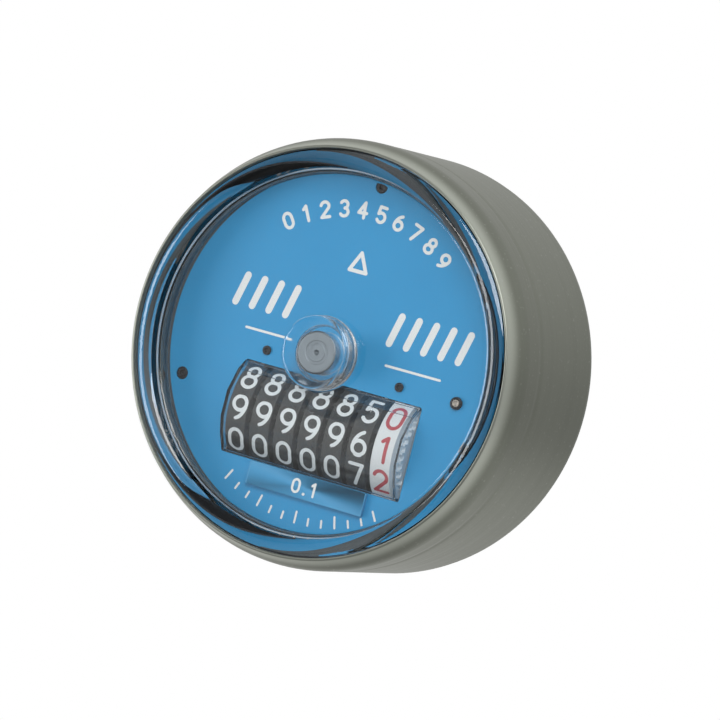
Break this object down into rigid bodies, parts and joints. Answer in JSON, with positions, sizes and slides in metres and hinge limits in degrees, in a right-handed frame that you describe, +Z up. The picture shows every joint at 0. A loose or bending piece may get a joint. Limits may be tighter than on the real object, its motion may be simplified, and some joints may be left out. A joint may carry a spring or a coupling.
{
  "type": "hub odometer",
  "caption": "Round sealed distance counter with a clear lens and number wheels, hung on a stud in the middle of a road wheel.",
  "frame": {"origin": "centre of the case's rear face, where the stud leaves it, on the road wheel's axis", "axes": "+Y along the stud, from the dial to the road wheel; the dial faces -Y and +Z is up on the dial"},
  "size_m": [0.078, 0.054, 0.078],
  "materials": {
    "case_steel": "satin",
    "lens_clear": "polished",
    "gasket_rubber": "matte",
    "zinc_plated_steel": "satin",
    "turned_steel": "turned",
    "worm_brass": "machined",
    "dial_blue": "satin",
    "unit_plate_blue": "satin",
    "cover_clear": "polished",
    "dark_steel": "satin",
    "rivet_aluminium": "satin",
    "frame_steel": "satin",
    "bush_bronze": "machined",
    "weight_casting": "as cast",
    "screw_steel": "satin",
    "gear_nylon": "moulded",
    "wheel_white": "moulded",
    "wheel_black": "moulded"
  },
  "bodies": {
    "case": {"case_shell": "case_steel", "lens": "lens_clear", "lens_gasket": "gasket_rubber", "spacer_ring": "dark_steel", "mounting_stud": "zinc_plated_steel", "lock_washer": "zinc_plated_steel", "hub_nut": "zinc_plated_steel", "main_shaft": "turned_steel", "worm": "worm_brass", "shaft_clip": "turned_steel"},
    "movement": {"back_plate": "frame_steel", "bridge_rivet": "rivet_aluminium", "compound_axle": "turned_steel", "counter_cover": "cover_clear", "counter_shaft": "turned_steel", "dial_pillar_1": "dark_steel", "dial_pillar_2": "dark_steel", "dial_pillar_3": "dark_steel", "dial_plate": "dial_blue", "dial_rivet": "rivet_aluminium", "dial_screw_left": "dark_steel", "dial_screw_right": "dark_steel", "foot_screw_1": "screw_steel", "foot_screw_2": "screw_steel", "foot_screw_3": "screw_steel", "foot_screw_4": "screw_steel", "front_bridge": "frame_steel", "front_bush": "bush_bronze", "idler_axle": "turned_steel", "left_side_plate": "frame_steel", "pendulum_weight": "weight_casting", "rear_bush": "bush_bronze", "right_side_plate": "frame_steel", "transfer_shaft": "turned_steel", "unit_plate": "unit_plate_blue", "weight_screw_1": "screw_steel", "weight_screw_2": "screw_steel"},
    "tenths_wheel": {"tenths_wheel": "wheel_white"},
    "worm_wheel_shaft": {"cross_shaft": "turned_steel", "worm_wheel": "gear_nylon", "drive_pinion": "worm_brass"},
    "idler": {"idler_gear": "gear_nylon"},
    "compound": {"compound_gear": "gear_nylon"},
    "number_wheel_1": {"number_wheel_1": "wheel_black"},
    "transfer_pinion_1": {"transfer_pinion_1": "gear_nylon"},
    "number_wheel_2": {"number_wheel_2": "wheel_black"},
    "transfer_pinion_2": {"transfer_pinion_2": "gear_nylon"},
    "number_wheel_3": {"number_wheel_3": "wheel_black"},
    "transfer_pinion_3": {"transfer_pinion_3": "gear_nylon"},
    "number_wheel_4": {"number_wheel_4": "wheel_black"},
    "transfer_pinion_4": {"transfer_pinion_4": "gear_nylon"},
    "number_wheel_5": {"number_wheel_5": "wheel_black"},
    "transfer_pinion_5": {"transfer_pinion_5": "gear_nylon"},
    "number_wheel_6": {"number_wheel_6": "wheel_black"},
    "transfer_pinion_6": {"transfer_pinion_6": "gear_nylon"}
  },
  "joints": [
    {"name": "movement_spin", "type": "hinge", "parent": "case", "child": "movement", "pos_m": [0, 0, 0], "axis": [0, 1, 0], "continuous": true},
    {"name": "worm_wheel_spin", "type": "hinge", "parent": "movement", "child": "worm_wheel_shaft", "pos_m": [0, -0.01542, 0.0134], "axis": [1, 0, 0], "continuous": true},
    {"name": "idler_spin", "type": "hinge", "parent": "movement", "child": "idler", "pos_m": [0.01975, -0.01285, 0.00653], "axis": [1, 0, 0], "continuous": true},
    {"name": "compound_spin", "type": "hinge", "parent": "movement", "child": "compound", "pos_m": [0.019, -0.01655, -0.00513], "axis": [1, 0, 0], "continuous": true},
    {"name": "tenths_wheel_spin", "type": "hinge", "parent": "movement", "child": "tenths_wheel", "pos_m": [0.0154, -0.0217, -0.0137], "axis": [1, 0, 0], "continuous": true},
    {"name": "number_wheel_1_spin", "type": "hinge", "parent": "movement", "child": "number_wheel_1", "pos_m": [0.0104, -0.0217, -0.0137], "axis": [1, 0, 0], "continuous": true},
    {"name": "transfer_pinion_1_spin", "type": "hinge", "parent": "movement", "child": "transfer_pinion_1", "pos_m": [0.0129, -0.01378, -0.02162], "axis": [1, 0, 0], "continuous": true},
    {"name": "number_wheel_2_spin", "type": "hinge", "parent": "movement", "child": "number_wheel_2", "pos_m": [0.0054, -0.0217, -0.0137], "axis": [1, 0, 0], "continuous": true},
    {"name": "transfer_pinion_2_spin", "type": "hinge", "parent": "movement", "child": "transfer_pinion_2", "pos_m": [0.0079, -0.01378, -0.02162], "axis": [1, 0, 0], "continuous": true},
    {"name": "number_wheel_3_spin", "type": "hinge", "parent": "movement", "child": "number_wheel_3", "pos_m": [0.0004, -0.0217, -0.0137], "axis": [1, 0, 0], "continuous": true},
    {"name": "transfer_pinion_3_spin", "type": "hinge", "parent": "movement", "child": "transfer_pinion_3", "pos_m": [0.0029, -0.01378, -0.02162], "axis": [1, 0, 0], "continuous": true},
    {"name": "number_wheel_4_spin", "type": "hinge", "parent": "movement", "child": "number_wheel_4", "pos_m": [-0.0046, -0.0217, -0.0137], "axis": [1, 0, 0], "continuous": true},
    {"name": "transfer_pinion_4_spin", "type": "hinge", "parent": "movement", "child": "transfer_pinion_4", "pos_m": [-0.0021, -0.01378, -0.02162], "axis": [1, 0, 0], "continuous": true},
    {"name": "number_wheel_5_spin", "type": "hinge", "parent": "movement", "child": "number_wheel_5", "pos_m": [-0.0096, -0.0217, -0.0137], "axis": [1, 0, 0], "continuous": true},
    {"name": "transfer_pinion_5_spin", "type": "hinge", "parent": "movement", "child": "transfer_pinion_5", "pos_m": [-0.0071, -0.01378, -0.02162], "axis": [1, 0, 0], "continuous": true},
    {"name": "number_wheel_6_spin", "type": "hinge", "parent": "movement", "child": "number_wheel_6", "pos_m": [-0.0146, -0.0217, -0.0137], "axis": [1, 0, 0], "continuous": true},
    {"name": "transfer_pinion_6_spin", "type": "hinge", "parent": "movement", "child": "transfer_pinion_6", "pos_m": [-0.0121, -0.01378, -0.02162], "axis": [1, 0, 0], "continuous": true}
  ],
  "couplings": [
    {"joint": "worm_wheel_spin", "follows": "movement_spin", "ratio": 0.019608},
    {"joint": "idler_spin", "follows": "movement_spin", "ratio": -0.0078431},
    {"joint": "compound_spin", "follows": "movement_spin", "ratio": 0.0058824},
    {"joint": "tenths_wheel_spin", "follows": "movement_spin", "ratio": -0.0019608},
    {"joint": "number_wheel_1_spin", "follows": "movement_spin", "ratio": -0.00019608},
    {"joint": "transfer_pinion_1_spin", "follows": "movement_spin", "ratio": 0.0004902},
    {"joint": "number_wheel_2_spin", "follows": "movement_spin", "ratio": -0.000019608},
    {"joint": "transfer_pinion_2_spin", "follows": "movement_spin", "ratio": 0.00004902},
    {"joint": "transfer_pinion_3_spin", "follows": "number_wheel_3_spin", "ratio": -2.5},
    {"joint": "number_wheel_4_spin", "follows": "number_wheel_3_spin", "ratio": 0.1},
    {"joint": "transfer_pinion_4_spin", "follows": "number_wheel_3_spin", "ratio": -0.25},
    {"joint": "number_wheel_5_spin", "follows": "number_wheel_3_spin", "ratio": 0.01},
    {"joint": "transfer_pinion_5_spin", "follows": "number_wheel_3_spin", "ratio": -0.025},
    {"joint": "number_wheel_6_spin", "follows": "number_wheel_3_spin", "ratio": 0.001},
    {"joint": "transfer_pinion_6_spin", "follows": "number_wheel_3_spin", "ratio": -0.0025}
  ]
}
